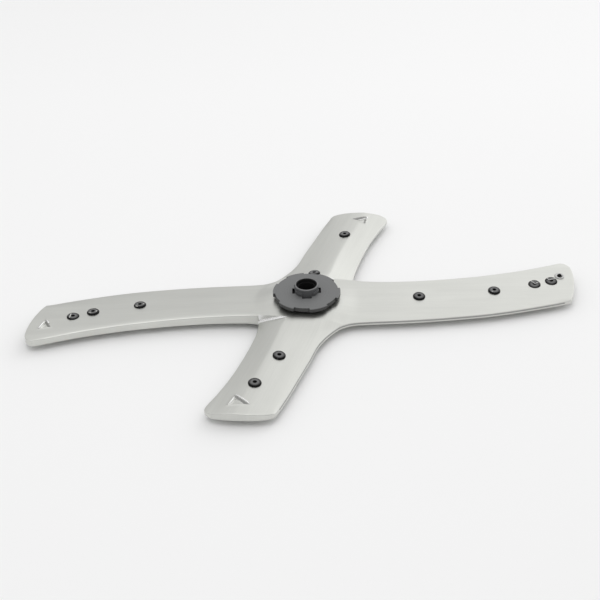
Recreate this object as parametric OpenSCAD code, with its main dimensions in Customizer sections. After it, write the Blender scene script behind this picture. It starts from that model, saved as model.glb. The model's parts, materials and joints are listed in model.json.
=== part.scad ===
// Four-armed spray arm of a dishwasher. Two pressed sheet shells close at a
// rim and hold the water between them. Jets sit in the upper shell. A lobed
// nut with a water neck turns in a bush at the middle. The long arms lie
// along X. Each arm has a leading edge with a crease and a low trailing edge.

/* [Long arms] */
// Distance from the hub axis to the tip of a long arm
long_reach = 229; // [190:1:290]
// Width of a long arm
long_w = 53; // [48:0.5:62]
// Width of the shoulder along the leading edge of a long arm
long_band = 2.2; // [2:0.1:4]
// Rise of the crease above the rim at the tip of a long arm
long_tip_rise = 3.1; // [2:0.1:5]

/* [Short arms] */
// Distance from the hub axis to the tip of a short arm
short_reach = 147; // [130:1:190]
// Width of a short arm
short_w = 51; // [46:0.5:60]
// Width of the sloping band along the leading edge of a short arm
short_band = 19.5; // [14:0.5:24]
// Rise of the crease above the rim at the tip of a short arm
short_tip_rise = 3.6; // [2:0.1:6]

/* [Shells] */
// Thickness of the sheet
sheet = 0.8; // [0.6:0.05:1.1]
// Height of the rim that closes the two shells
rim_h = 3; // [2.6:0.1:5]
// Radius of the bent edge round the outline
edge_r = 0.9; // [0.5:0.05:1]
// Width of the flat lip where the two shells meet
lip_w = 1.6; // [1.2:0.1:2.4]
// Height of the rim above the surface that the hub stands on
foot_drop = 5.5; // [4:0.1:9]
// How far an arm's underside hangs below the rim
arm_belly = 2.4; // [1:0.1:3.5]
// Rise of the flat middle above the rim
hub_rise = 6.5; // [5.5:0.1:9]
// Radius of the flat middle
hub_flat_r = 30; // [29:0.5:34]

/* [Hub] */
// Largest radius of the lobed nut
nut_r = 28; // [25:0.5:32]
// Thickness of the lobed nut
nut_h = 3.5; // [2.5:0.1:6]
// Number of lobes round the nut
lobe_count = 6; // [4:1:8]
// Depth of the hollows between the lobes
lobe_depth = 1.8; // [1:0.1:3]
// Outer radius of the water neck
neck_r = 9.9; // [9:0.1:11]
// Radius of the socket in the mouth of the neck
socket_r = 8.2; // [7.6:0.1:8.6]
// Depth of the socket in the mouth of the neck
socket_depth = 3.2; // [2:0.1:5]
// Radius of the water way through the neck
bore_r = 7; // [5.5:0.1:7.4]
// Height of the neck above the nut
neck_rise = 6.5; // [4:0.1:12]
// Wall of the bush that the neck turns in
bush_wall = 2.4; // [1.8:0.1:3.5]
// Length of the bush below the top of its seat
bush_len = 8.3; // [6:0.1:9]
// Thickness of the thrust washer
washer_t = 0.6; // [0.4:0.1:1.2]
// Thickness of the retaining ring
ring_t = 1.8; // [1.2:0.1:2.2]
// Running clearance between neck and bush
run_gap = 0.06; // [0.03:0.01:0.1]

/* [Jets] */
// Radius of a jet's cap
cap_r = 5.15; // [4.5:0.05:5.6]
// Height of a jet's cap above the sheet
cap_h = 1.5; // [1:0.1:2.5]
// Radius of a jet's stem
stem_r = 3.6; // [3:0.1:4]
// Radius of the opening of a jet
jet_r = 1; // [0.6:0.1:1.4]
// Tilt of a slanted jet
jet_tilt = 28; // [10:1:35]
// Radius of the eyelet near the tip of one long arm
eyelet_r = 4.2; // [3.6:0.1:5]

/* [Hidden] */

// smoothness and overrun of cuts
$fn = 72;
over = sheet;

// heights above the surface that the hub stands on
rim_z = foot_drop + rim_h;
seam_h = 1.25 * sheet;
seam_z = foot_drop + seam_h;
crown_z = rim_z + hub_rise;
seat_rise = 1.8;
seat_z = crown_z + seat_rise;
float_gap = 0.2;
nut_z = seat_z + washer_t + float_gap;
nut_top = nut_z + nut_h;
neck_top = nut_top + neck_rise;
bush_z = seat_z - bush_len;
ring_z = bush_z - float_gap - ring_t;
neck_foot_w = 1.2;
neck_foot = ring_z - neck_foot_w;

// radii round the hub
fit_gap = 0.03;
bush_r = neck_r + run_gap + bush_wall;
bush_flange_r = bush_r + 2 * bush_wall;
washer_share = 0.62;
washer_r = hub_flat_r * washer_share;
seat_r = washer_r + 2 * sheet;
ring_r = bush_r;
groove_depth = 0.5;
blend_w = hub_flat_r / 2;

// A long arm is drawn along +X and a short arm along +Y, each with its
// leading edge towards the other. Both start at the mitre between the
// leading edges and at the middle of the fillet between the trailing edges.
mitre_shares = [0.755, 0.486];
crease_shares = [0.321, 0.549];
fillet_shares = [0.566, -0.663];
mitre = [mitre_shares.x * long_w, mitre_shares.y * short_w];
crease_root = [crease_shares.x * long_w, crease_shares.y * short_w];
fillet_right = [fillet_shares.x * long_w, fillet_shares.y * short_w];

// Edges of the arms from root to tip, as shares of reach and width
long_lead_shares = [[0.227, 0.434], [0.349, 0.421], [0.489, 0.455],
    [0.655, 0.543], [0.808, 0.677], [0.930, 0.826]];
long_trail_shares = [[0.188, -0.581], [0.349, -0.566], [0.489, -0.534],
    [0.655, -0.460], [0.808, -0.332], [0.941, -0.185]];
long_tip_shares = [[0.960, -0.124], [0.978, 0.075], [0.993, 0.355], [0.998, 0.600],
    [0.994, 0.755], [0.972, 0.860]];
short_lead_shares = [[0.265, 0.810], [0.395, 0.908], [0.544, 1.051],
    [0.680, 1.204], [0.803, 1.373], [0.915, 1.535]];
short_trail_shares = [[0.279, -0.412], [0.395, -0.176], [0.544, -0.010],
    [0.680, 0.147], [0.816, 0.302], [0.949, 0.471]];
short_tip_shares = [[0.986, 0.559], [0.999, 0.725], [0.999, 0.902], [0.993, 1.118],
    [0.982, 1.314], [0.965, 1.451]];
tip_crown_counts = [5, 4];

// A curve through points, at a share q of its length in steps
function bend(a, b, c, d, f) =
    0.5 * (2 * b + (c - a) * f + (2 * a - 5 * b + 4 * c - d) * f * f
    + (3 * b - a - 3 * c + d) * f * f * f);
function step_of(p, q) = min(len(p) - 2, floor(q));
function curve(p, q, before, after) =
    let (i = step_of(p, q))
    bend(i > 0 ? p[i - 1] : before, p[i], p[i + 1],
        i + 2 < len(p) ? p[i + 2] : after, q - i);
function unit(v) = v / norm(v);
function mix(a, b, f) = a + (b - a) * f;

// kind 0 is the long arm along +X, kind 1 the short arm along +Y
LONG = 0;
SHORT = 1;
function placed(kind, shares) = [for (h = shares)
    kind == LONG ? [h.x * long_reach, h.y * long_w] : [h.y * short_w, h.x * short_reach]];
function fillet(kind) = kind == LONG ? fillet_right : -fillet_right;
lead_pts = [for (k = [LONG, SHORT])
    concat([mitre], placed(k, k == LONG ? long_lead_shares : short_lead_shares))];
trail_pts = [for (k = [LONG, SHORT])
    concat([fillet(k)], placed(k, k == LONG ? long_trail_shares : short_trail_shares))];
tip_pts = [for (k = [LONG, SHORT])
    concat([trail_pts[k][6]], placed(k, k == LONG ? long_tip_shares : short_tip_shares),
        [lead_pts[k][6]])];
tip_middle = [for (k = [LONG, SHORT]) (trail_pts[k][5] + lead_pts[k][5]) / 2];

// Rim points at share t of an arm; the fillet runs on into the next arm
function lead_rim(k, t) = curve(lead_pts[k], t * 6,
    2 * lead_pts[k][0] - lead_pts[k][1], tip_pts[k][6]);
function trail_rim(k, t) = curve(trail_pts[k], t * 6,
    -trail_pts[1 - k][1], tip_pts[k][1]);
function tip_rim(k, s) =
    let (a = tip_crown_counts[k], all = len(tip_pts[k]) - 1,
        q = s <= 1 ? s * a : a + (s - 1) * (all - a))
    curve(tip_pts[k], q, trail_pts[k][5], lead_pts[k][5]);

// The same points moved in from the outline by e
slope_step_share = 0.004;
mitre_pull_share = 1.2;
function turned(v) = [-v.y, v.x];
function side(k) = k == LONG ? 1 : -1;
function moved_in(k, at, ahead, way, e) = at + e * side(k) * way * unit(turned(ahead));
function trail_in(k, t, e) =
    t <= 0 ? fillet(k) - e * unit(fillet(k)) :
    moved_in(k, trail_rim(k, t),
        trail_rim(k, t + slope_step_share) - trail_rim(k, t - slope_step_share), 1, e);
function lead_in(k, t, e) =
    t <= 0 ? mitre - mitre_pull_share * e * unit(mitre) :
    moved_in(k, lead_rim(k, t),
        lead_rim(k, t + slope_step_share) - lead_rim(k, t - slope_step_share), -1, e);
function tip_in(k, s, e) = tip_rim(k, s) + e * unit(tip_middle[k] - tip_rim(k, s));

// The crease starts at the mitre and runs beside the leading edge
band = [long_band, short_band];
first_share = 1 / 6;
crease_pace_shares = [0.5, 1];
tip_power = 5;
function crease_in(k, t, e) = lead_rim(k, t)
    + (band[k] + e - edge_r) * unit(trail_rim(k, t) - lead_rim(k, t));
function crease(k, t, e) = t >= first_share ? crease_in(k, t, e) :
    mix(crease_root - (e - edge_r) * [1, 1], crease_in(k, first_share, e),
        pow(t / first_share, crease_pace_shares[k]));

// A place on an arm: t runs from root to tip, s from the trailing edge (0)
// over the crease (1) to the leading edge (2)
function chord(k, t, s, e) =
    s <= 1 ? mix(trail_in(k, t, e), crease(k, t, e), s)
    : mix(crease(k, t, e), lead_in(k, t, e), s - 1);
function place(k, t, s, e) =
    t >= 1 ? tip_in(k, s, e) :
    s <= 0 || s >= 2 || t <= 0 ? chord(k, t, s, e) :
    chord(k, t, s, e) + pow(t, tip_power) * (tip_rim(k, s) - chord(k, 1, s, 0));

// Height of the upper shell's outside above the rim: it swells from the
// trailing edge to the crease, and lies flat round the hub
swell_power = 1.5;
tip_rise = [long_tip_rise, short_tip_rise];
crease_rise = hub_rise - sheet / 4;
mitre_drop_share = 0.7;
mitre_rise = -mitre_drop_share * (rim_h - seam_h - edge_r);
short_foot_rise = sheet / 4;
function hub_share(p) =
    let (f = min(1, max(0, (hub_flat_r + blend_w - norm(p)) / blend_w)))
    f * f * (3 - 2 * f);
function crest_rise(k, t) =
    mix(tip_rise[k], crease_rise, pow(1 - min(1, t), swell_power));
function crease_height(k, t) =
    mix(crest_rise(k, t), hub_rise, hub_share(crease(k, t, edge_r)));
function foot_rise(k, t) =
    t <= 0 ? mitre_rise :
    k == LONG ? crease_height(k, t) - edge_r / 3 : mix(mitre_rise, short_foot_rise, t);
function crown_height(k, t, s, p) = rim_z + (
    s <= 0 ? 0 :
    s <= 1 ? mix(crest_rise(k, t) * (1 - pow(1 - s, swell_power)), hub_rise, hub_share(p))
    : mix(crease_height(k, t), foot_rise(k, t), s - 1));
// Height of the lower shell's outside, which hangs deepest midway across
belly_split_shares = [0.95, 0.65];
root_split_share = 0.8;
belly_power = 3;
function belly_height(k, t, s, p) =
    let (part = mix(root_split_share, belly_split_shares[k], min(1, t / first_share)),
        w = s <= 1 ? s * part : part + (s - 1) * (1 - part),
        across = 1 - pow(abs(2 * w - 1), belly_power), along = min(1, (1 - t) / first_share * 2))
    s <= 0 || s >= 2 || t >= 1 ? foot_drop :
    mix(foot_drop - arm_belly * across * along, 0, hub_share(p));

// Rows and columns of the pressed surfaces
row_counts = [16, 13];
crown_count = 6;
band_count = 2;
row_power = 1.35;
reach = [long_reach, short_reach];
end_step = 3 * sheet;
function row_t(k, i) = i >= row_counts[k] ? 1 :
    (1 - end_step / reach[k]) * pow(i / (row_counts[k] - 1), row_power);
col_count = crown_count + band_count;
function col_s(j) = j <= crown_count ? j / crown_count : 1 + (j - crown_count) / band_count;

// A sheet's face as triangles; form picks the shell and deep moves it inward
UPPER = 0;
LOWER = 1;
function height(form, k, t, s, p) =
    form == UPPER ? crown_height(k, t, s, p) : belly_height(k, t, s, p);
function vertex(form, k, t, s, e, deep) =
    let (p = place(k, t, s, e)) [p.x, p.y, height(form, k, t, s, p) + deep];
function arm_grid(form, k, e, deep) =
    [for (i = [0:row_counts[k]]) [for (j = [0:col_count]) vertex(form, k, row_t(k, i), col_s(j), e, deep)]];
// Rings of the middle: the flat, the slope of the seat and the seat itself
foot_share = 0.85;
core_shares = [0.88, 0.92, 0.96];
function ring_rs(form) = form == UPPER ?
    [seat_r, seat_r + seat_rise, hub_flat_r] : [seat_r, hub_flat_r * foot_share, hub_flat_r];
function ring_hs(form) = form == UPPER ? [seat_z, seat_z, crown_z, crown_z] : [0, 0, 0, 0];
function core_row(form, root, i, deep) =
    let (limit = ring_rs(form)[i], z = ring_hs(form)[i + 1] + deep)
    [for (v = root) let (r = norm([v.x, v.y]), f = min(limit, r * core_shares[i]) / r)
        [v.x * f, v.y * f, z]];
function core_grid(form, k, e, deep) =
    let (root = [for (j = [0:crown_count]) vertex(form, k, 0, col_s(j), e, deep)],
        top = ring_hs(form)[0] + deep)
    concat([[for (v = root) [0, 0, top]]],
        [for (i = [0:2]) core_row(form, root, i, deep)],
        [for (m = mid_shares) [for (j = [0:crown_count])
            core_mid(form, k, col_s(j), e, root[j], m, deep)]], [root]);
// Between the flat middle and the roots the sheet swells with the distance
// from the fillet, as it does along the arms on both sides of the fillet
mid_shares = [1 / 3, 2 / 3];
function root_line(k, e) = crease(k, 0, e) - trail_in(k, 0, e);
function turn_between(a, b) = acos(max(-1, min(1, unit(a) * unit(b))));
function core_share(k, s, e, p) =
    let (f = trail_in(k, 0, e), line = root_line(k, e),
        half_way = (norm(root_line(LONG, e)) + norm(root_line(SHORT, e))) / 2,
        q = turn_between(p - f, line) / turn_between(-f, line),
        span = s <= 0 ? half_way : mix(norm(line), half_way, min(1, q)))
    s >= 1 ? 1 : mix(min(1, norm(p - f) / span), s, s);
function core_mid(form, k, s, e, v, m, deep) =
    let (r = norm([v.x, v.y]), inner = min(hub_flat_r, r * core_shares[2]) / r,
        p = [v.x, v.y] * mix(inner, 1, m))
    [p.x, p.y, height(form, k, 0, core_share(k, s, e, p), p) + deep];

// Triangles of a grid, those with two equal corners left out
function whole(t) = t[0] != t[1] && t[1] != t[2] && t[2] != t[0];
function triangles(g) = [for (i = [0:len(g) - 2]) for (j = [0:len(g[i]) - 2])
    for (t = [[g[i][j], g[i][j + 1], g[i + 1][j + 1]], [g[i][j], g[i + 1][j + 1], g[i + 1][j]]])
    if (whole(t)) t];
function opposite(t) = [for (v = t) [-v.x, -v.y, v.z]];
function flipped(ts) = [for (t = ts) [t[0], t[2], t[1]]];
function both_halves(ts) = concat(ts, [for (t = ts) opposite(t)]);
function face(form, e, deep) = both_halves(concat(
    flipped(triangles(arm_grid(form, LONG, e, deep))),
    triangles(arm_grid(form, SHORT, e, deep)),
    flipped(triangles(core_grid(form, LONG, e, deep))),
    triangles(core_grid(form, SHORT, e, deep))));

// A ring round the outline: moved in by e, at a height of its own or
// lower than the face's edge by drop
function arm_ring(form, k, i, s, e, drop) = vertex(form, k, row_t(k, i), s, e, -drop);
function half_ring(form, e, drop) = concat(
    [for (i = [0:row_counts[LONG]]) arm_ring(form, LONG, i, 0, e, drop)],
    [for (j = [1:col_count]) arm_ring(form, LONG, row_counts[LONG], col_s(j), e, drop)],
    [for (i = [row_counts[LONG] - 1:-1:1]) arm_ring(form, LONG, i, 2, e, drop)],
    [for (i = [0:row_counts[SHORT]]) arm_ring(form, SHORT, i, 2, e, drop)],
    [for (j = [col_count - 1:-1:0]) arm_ring(form, SHORT, row_counts[SHORT], col_s(j), e, drop)],
    [for (i = [row_counts[SHORT] - 1:-1:1]) arm_ring(form, SHORT, i, 0, e, drop)]);
function ring(form, e, drop) =
    let (h = half_ring(form, e, drop)) concat(h, [for (v = h) [-v.x, -v.y, v.z]]);
function level_ring(e, z) = [for (v = ring(LOWER, e, 0)) [v.x, v.y, z]];
function closed(r) = concat(r, [r[0]]);
function skirt(rings) = triangles([for (r = rings) closed(r)]);

module solid_of(ts) {
    polyhedron(
        points = [for (t = ts) for (v = t) v],
        faces = [for (i = [0:len(ts) - 1]) [3 * i, 3 * i + 1, 3 * i + 2]]);
}
// Rings from the face's edge over the bend and the lip to the inside
round_share = 1 - cos(45);
lower_edge_share = 0.6;
module sheet_shell(form, way, bend_r) {
    rings = [
        ring(form, edge_r, 0),
        ring(form, edge_r * round_share, way * bend_r * round_share),
        ring(form, 0, way * bend_r),
        level_ring(0, seam_z),
        level_ring(lip_w, seam_z),
        ring(form, lip_w, way * sheet)
    ];
    all = concat(face(form, edge_r, 0), flipped(skirt(rings)),
        flipped(face(form, lip_w, -way * sheet)));
    solid_of(way > 0 ? all : flipped(all));
}

// Jets by arm: kind, half turn, place along and across, slanted or not
jets = [
    ["jet_right_1", LONG, 0, 0.405, 0.58, false],
    ["jet_right_2", LONG, 0, 0.69, 0.58, false],
    ["jet_right_3", LONG, 0, 0.842, 0.62, true],
    ["jet_right_4", LONG, 0, 0.905, 0.64, true],
    ["jet_left_1", LONG, 180, 0.615, 0.49, false],
    ["jet_left_2", LONG, 180, 0.777, 0.545, false],
    ["jet_left_3", LONG, 180, 0.845, 0.595, true],
    ["jet_back_1", SHORT, 0, 0.695, 0.83, false],
    ["jet_back_2", SHORT, 0, 0.14, 0.68, false],
    ["jet_front_1", SHORT, 180, 0.478, 0.71, false],
    ["jet_front_2", SHORT, 180, 0.74, 0.9, false]
];
eyelet_shares = [0.94, 0.73];
eyelet_tube_share = 0.62;

// A piece stands square to the chords of the crown under its cap
crown_w = [long_w - long_band, short_w - short_band];
function crown_at(kind, t, s) = vertex(UPPER, kind, t, min(1, s), edge_r, 0);
module on_arm(kind, turn, t, s) {
    dt = cap_r / reach[kind];
    ds = cap_r / crown_w[kind];
    along = crown_at(kind, t + dt, s) - crown_at(kind, t - dt, s);
    across = crown_at(kind, t, s + ds) - crown_at(kind, t, s - ds);
    up = unit(side(kind) * cross(along, across));
    rotate([0, 0, turn])
        translate(crown_at(kind, t, s))
            rotate([0, acos(up.z), atan2(up.y, up.x)])
                children();
}
module on_jet(j) {
    on_arm(j[1], j[2], j[3], j[4]) children();
}

// A jet is a cap on a stem that snaps under the sheet. Its cap's profile is
// given from the foot up, as shares of the cap's radius and height.
seat_cut = sheet / 4;
cap_shares = [[1, 0.45], [0.86, 0.8], [0.66, 1], [0.5, 1], [0.4, 0.6], [0, 0.6]];
stem_bore_share = 0.6;
collar_h = sheet;
stem_end = 2 * sheet + collar_h;
module jet_seat() {
    translate([0, 0, -seat_cut]) cylinder(r = cap_r + fit_gap, h = cap_h + over);
    translate([0, 0, -sheet - cap_h]) cylinder(r = stem_r + fit_gap, h = 2 * cap_h + sheet);
}
module jet(slanted) {
    difference() {
        rotate_extrude() polygon(concat([
            [0, -stem_end], [stem_r, -stem_end], [stem_r + collar_h / 2, -stem_end + collar_h],
            [stem_r, -stem_end + collar_h], [stem_r, -seat_cut], [cap_r, -seat_cut]
        ], [for (h = cap_shares) [h.x * cap_r, h.y * cap_h]]));
        rotate([0, slanted ? jet_tilt : 0, 90])
            translate([0, 0, -2 * stem_end]) cylinder(r = jet_r, h = 4 * stem_end, $fn = 24);
        translate([0, 0, -stem_end - over])
            cylinder(r = stem_r * stem_bore_share, h = stem_end - sheet / 2 + over);
    }
}

module upper_shell() color([0.80, 0.80, 0.78]) {
    difference() {
        sheet_shell(UPPER, 1, edge_r);
        translate([0, 0, rim_z]) cylinder(r = bush_r + fit_gap, h = 2 * seat_z);
        for (j = jets) on_jet(j) jet_seat();
        on_arm(LONG, 0, eyelet_shares.x, eyelet_shares.y) eyelet_seat();
    }
}
module lower_shell() color([0.70, 0.70, 0.69]) {
    sheet_shell(LOWER, -1, edge_r * lower_edge_share);
}

// A pressed ring through the sheet near the tip of one long arm
module eyelet_seat() {
    translate([0, 0, -seat_cut]) cylinder(r = eyelet_r + fit_gap, h = cap_h + over);
    translate([0, 0, -2 * sheet])
        cylinder(r = eyelet_r * eyelet_tube_share + fit_gap, h = 4 * sheet);
}
module eyelet() color([0.78, 0.78, 0.77]) {
    tube = eyelet_r * eyelet_tube_share;
    on_arm(LONG, 0, eyelet_shares.x, eyelet_shares.y)
        rotate_extrude() polygon([
            [tube - sheet, -1.5 * sheet], [tube, -1.5 * sheet], [tube, -seat_cut],
            [eyelet_r, -seat_cut], [eyelet_r, sheet / 2], [eyelet_r - sheet / 2, sheet],
            [tube, sheet], [tube - sheet, sheet / 2]
        ]);
}

// The bush hangs by its flange under the seat and ends flush with it
module bearing_bush() color([0.85, 0.85, 0.82]) {
    flange_z = seat_z - sheet;
    bore = neck_r + run_gap;
    rotate_extrude() polygon([
        [bore, bush_z], [bush_r, bush_z], [bush_r, flange_z - 2 * sheet],
        [bush_flange_r, flange_z - 2 * sheet], [bush_flange_r, flange_z],
        [bush_r, flange_z], [bush_r, seat_z], [bore, seat_z]
    ]);
}
module thrust_washer() color([0.90, 0.90, 0.88]) {
    translate([0, 0, seat_z]) difference() {
        cylinder(r = washer_r, h = washer_t);
        translate([0, 0, -over]) cylinder(r = neck_r + 2 * float_gap, h = washer_t + 2 * over);
    }
}
module retaining_ring() color([0.30, 0.30, 0.31]) {
    inner = neck_r - groove_depth + fit_gap;
    translate([0, 0, ring_z]) difference() {
        cylinder(r = ring_r, h = ring_t);
        translate([0, 0, -over]) cylinder(r = inner, h = ring_t + 2 * over);
    }
}

// The nut grips the neck; four pockets beside the neck take a key
pocket_count = 4;
pocket_shares = [1.2, 0.8, 0.65];
pocket_r = neck_r * pocket_shares[0];
pocket_w = neck_r * pocket_shares[1];
pocket_depth = nut_h * pocket_shares[2];
lobe_turn = -10;
lobe_gap_share = 0.46;
chamfer = nut_h / 8;
module nut_round(r) {
    rotate_extrude() polygon([
        [0, 0], [r - chamfer, 0], [r, chamfer], [r, nut_h - chamfer], [r - chamfer, nut_h], [0, nut_h]
    ]);
}
module hollow(angle) {
    rotate([0, 0, -angle / 2]) rotate_extrude(angle = angle)
        translate([nut_r - lobe_depth, -over]) square([lobe_depth + over, nut_h + 2 * over]);
}
module lobed_nut() color([0.45, 0.46, 0.46]) {
    pitch = 360 / lobe_count;
    translate([0, 0, nut_z]) difference() {
        nut_round(nut_r);
        for (i = [0:lobe_count - 1])
            rotate([0, 0, lobe_turn + (i + 0.5) * pitch]) hollow(pitch * lobe_gap_share);
        translate([0, 0, -over]) cylinder(r = neck_r + fit_gap, h = nut_h + 2 * over);
        for (i = [0:pocket_count - 1])
            rotate([0, 0, (i + 1) * 360 / pocket_count])
                translate([0, -pocket_w / 2, nut_h - pocket_depth])
                    cube([pocket_r, pocket_w, nut_h]);
    }
}

// The neck runs from under the retaining ring through bush and nut
lug_shares = [0.1, 0.28];
lug_out = neck_r * lug_shares[0];
lug_h = neck_rise * lug_shares[1];
lug_angle = 40;
lug_turn = -60;
module neck() color([0.27, 0.28, 0.29]) {
    lip = (neck_r - socket_r) / 3;
    rotate_extrude() polygon([
        [bore_r, neck_foot], [neck_r, neck_foot], [neck_r, ring_z],
        [neck_r - groove_depth, ring_z], [neck_r - groove_depth, ring_z + ring_t],
        [neck_r, ring_z + ring_t], [neck_r, neck_top - lip], [neck_r - lip, neck_top],
        [socket_r + lip, neck_top], [socket_r, neck_top - lip],
        [socket_r, neck_top - socket_depth], [bore_r, neck_top - socket_depth]
    ]);
    for (i = [0:pocket_count - 1])
        rotate([0, 0, i * 360 / pocket_count + lug_turn]) rotate_extrude(angle = lug_angle)
            translate([neck_r - lip, nut_top + lug_h]) square([lug_out + lip, lug_h]);
}

module jet_by_name(name) color([0.16, 0.16, 0.17]) {
    for (j = jets) if (j[0] == name) on_jet(j) jet(j[5]);
}

upper_shell();
lower_shell();
jet_by_name("jet_right_1");  // jet_right_1
jet_by_name("jet_right_2");  // jet_right_2
jet_by_name("jet_right_3");  // jet_right_3
jet_by_name("jet_right_4");  // jet_right_4
eyelet();
jet_by_name("jet_left_1");  // jet_left_1
jet_by_name("jet_left_2");  // jet_left_2
jet_by_name("jet_left_3");  // jet_left_3
jet_by_name("jet_back_1");  // jet_back_1
jet_by_name("jet_back_2");  // jet_back_2
jet_by_name("jet_front_1");  // jet_front_1
jet_by_name("jet_front_2");  // jet_front_2
bearing_bush();
thrust_washer();
retaining_ring();
lobed_nut();
neck();
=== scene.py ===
"""Looks of a four-armed dishwasher spray arm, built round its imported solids.

Every length is in metres in the frame of the solids: Z is the hub axis, the
long arms lie along X, and the part stands on Z = 0. The two pressed shells
are drawn again from the same curves as the solids, fine enough for a soft
crease, a rolled edge and the small marks pressed in near the tips.
"""

from __future__ import annotations

import json
import logging
import math
from dataclasses import dataclass, field
from enum import Enum
from functools import cached_property
from typing import Callable, Sequence

import bpy
import numpy as np
from mathutils import Matrix, Vector

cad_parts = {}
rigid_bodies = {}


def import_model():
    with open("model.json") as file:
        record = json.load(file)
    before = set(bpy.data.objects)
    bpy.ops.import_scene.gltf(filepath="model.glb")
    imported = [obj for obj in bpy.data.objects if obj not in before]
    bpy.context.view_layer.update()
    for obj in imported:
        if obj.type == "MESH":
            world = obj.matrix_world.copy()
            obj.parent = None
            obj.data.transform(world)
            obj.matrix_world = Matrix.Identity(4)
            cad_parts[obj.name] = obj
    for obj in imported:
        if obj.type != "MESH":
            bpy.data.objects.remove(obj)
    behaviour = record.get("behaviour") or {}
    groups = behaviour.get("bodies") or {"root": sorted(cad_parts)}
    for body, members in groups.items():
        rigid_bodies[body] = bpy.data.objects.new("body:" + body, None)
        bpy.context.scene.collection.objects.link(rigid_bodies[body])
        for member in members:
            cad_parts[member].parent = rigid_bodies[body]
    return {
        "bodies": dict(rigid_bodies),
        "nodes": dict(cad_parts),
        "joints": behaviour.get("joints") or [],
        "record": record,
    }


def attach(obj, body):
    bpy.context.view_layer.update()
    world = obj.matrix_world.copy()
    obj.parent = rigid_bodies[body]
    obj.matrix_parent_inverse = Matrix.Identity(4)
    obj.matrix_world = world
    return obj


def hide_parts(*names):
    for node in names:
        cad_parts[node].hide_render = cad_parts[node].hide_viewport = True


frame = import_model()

log = logging.getLogger("spray_arm")
MM = 0.001
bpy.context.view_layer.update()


# ---------------------------------------------------------------- mesh help
def unit(v: np.ndarray) -> np.ndarray:
    """Vectors along the last axis, made one long."""
    return v / np.linalg.norm(v, axis=-1, keepdims=True)


def mix(a: np.ndarray, b: np.ndarray, f: np.ndarray) -> np.ndarray:
    """From a to b by the share f."""
    return a + (b - a) * f


def eased(f: np.ndarray) -> np.ndarray:
    """A share from 0 to 1 that starts and ends softly."""
    f = np.clip(f, 0.0, 1.0)
    return f * f * (3.0 - 2.0 * f)


def through(
    points: np.ndarray, q: np.ndarray, before: np.ndarray, after: np.ndarray
) -> np.ndarray:
    """Places on the smooth curve that passes through points.

    Args:
        points: The points in order, one row each.
        q: Places along the curve, counted in steps between points.
        before: A point before the first, for the curve's direction there.
        after: A point after the last.

    Returns:
        One point for each value in q.
    """
    row = np.vstack([before, points, after])
    i = np.clip(np.floor(q).astype(int), 0, len(points) - 2)
    f = (q - i)[..., None]
    a, b, c, d = (row[i + n] for n in range(4))
    return 0.5 * (
        2 * b
        + (c - a) * f
        + (2 * a - 5 * b + 4 * c - d) * f**2
        + (3 * b - a - 3 * c + d) * f**3
    )


@dataclass
class Skin:
    """Vertices and faces of one mesh while it is being drawn."""

    points: list[np.ndarray] = field(default_factory=list)
    faces: list[tuple[int, ...]] = field(default_factory=list)
    tints: list[int] = field(default_factory=list)
    count: int = 0

    def add(
        self,
        grid: np.ndarray,
        turned: bool = False,
        ring: bool = False,
        tint: np.ndarray | int = 0,
    ) -> None:
        """Adds a grid of points as quads.

        Args:
            grid: Points in rows and columns.
            turned: Whether the faces look the other way.
            ring: Whether the last column joins the first.
            tint: Number of the material, one for all or one for each face.
        """
        rows, cols = grid.shape[:2]
        base = self.count
        self.points.append(grid.reshape(-1, 3))
        self.count += rows * cols
        last = cols if ring else cols - 1
        each = np.broadcast_to(tint, (rows - 1, last))
        self.tints.extend(each.astype(int).ravel().tolist())
        for i in range(rows - 1):
            for j in range(last):
                n = (j + 1) % cols
                quad = (
                    base + i * cols + j,
                    base + i * cols + n,
                    base + (i + 1) * cols + n,
                    base + (i + 1) * cols + j,
                )
                self.faces.append(quad[::-1] if turned else quad)

    def lathe(
        self,
        profile: Sequence[tuple[float, float]],
        frame: Matrix,
        steps: int = 48,
        tint: int = 0,
    ) -> None:
        """Adds a turned form.

        Args:
            profile: Radius and height of each point, from one end to the other.
            frame: Where its axis stands.
            steps: How many flats there are round it.
            tint: Number of the material.
        """
        a = np.linspace(0, 2 * math.pi, steps + 1)[:-1]
        r, z = np.array(profile).T[:, :, None]
        around = np.stack([r * np.cos(a), r * np.sin(a), z + 0 * a], axis=-1)
        turn, at = np.array(frame.to_3x3()), np.array(frame.translation)
        self.add(around @ turn.T + at, ring=True, tint=tint)

    def piece(self, name: str, weld: float, crease_deg: float) -> bpy.types.Object:
        """Makes the object.

        Args:
            name: The object's name.
            weld: Points closer than this become one.
            crease_deg: Edges with a sharper fold than this stay sharp.

        Returns:
            The new object, linked to the scene.
        """
        mesh = bpy.data.meshes.new(name)
        mesh.from_pydata(np.vstack(self.points).tolist(), [], self.faces)
        mesh.polygons.foreach_set("material_index", self.tints)
        obj = bpy.data.objects.new(name, mesh)
        bpy.context.scene.collection.objects.link(obj)
        if weld:
            join_close_points(mesh, weld)
        mesh.shade_smooth()
        mesh.set_sharp_from_angle(angle=math.radians(crease_deg))
        return obj


def join_close_points(mesh: bpy.types.Mesh, weld: float) -> None:
    """Joins points of a mesh that lie closer together than weld."""
    import bmesh

    work = bmesh.new()
    work.from_mesh(mesh)
    bmesh.ops.remove_doubles(work, verts=work.verts, dist=weld)
    bmesh.ops.recalc_face_normals(work, faces=work.faces)
    work.to_mesh(mesh)
    work.free()


# ------------------------------------------------------------ pressed sheets
class Kind(Enum):
    """The two kinds of arm."""

    LONG = 0
    SHORT = 1


class Arm(Enum):
    """The four arms: kind, and whether it is turned half round the hub."""

    RIGHT = (Kind.LONG, False)
    BACK = (Kind.SHORT, False)
    LEFT = (Kind.LONG, True)
    FRONT = (Kind.SHORT, True)


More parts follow.
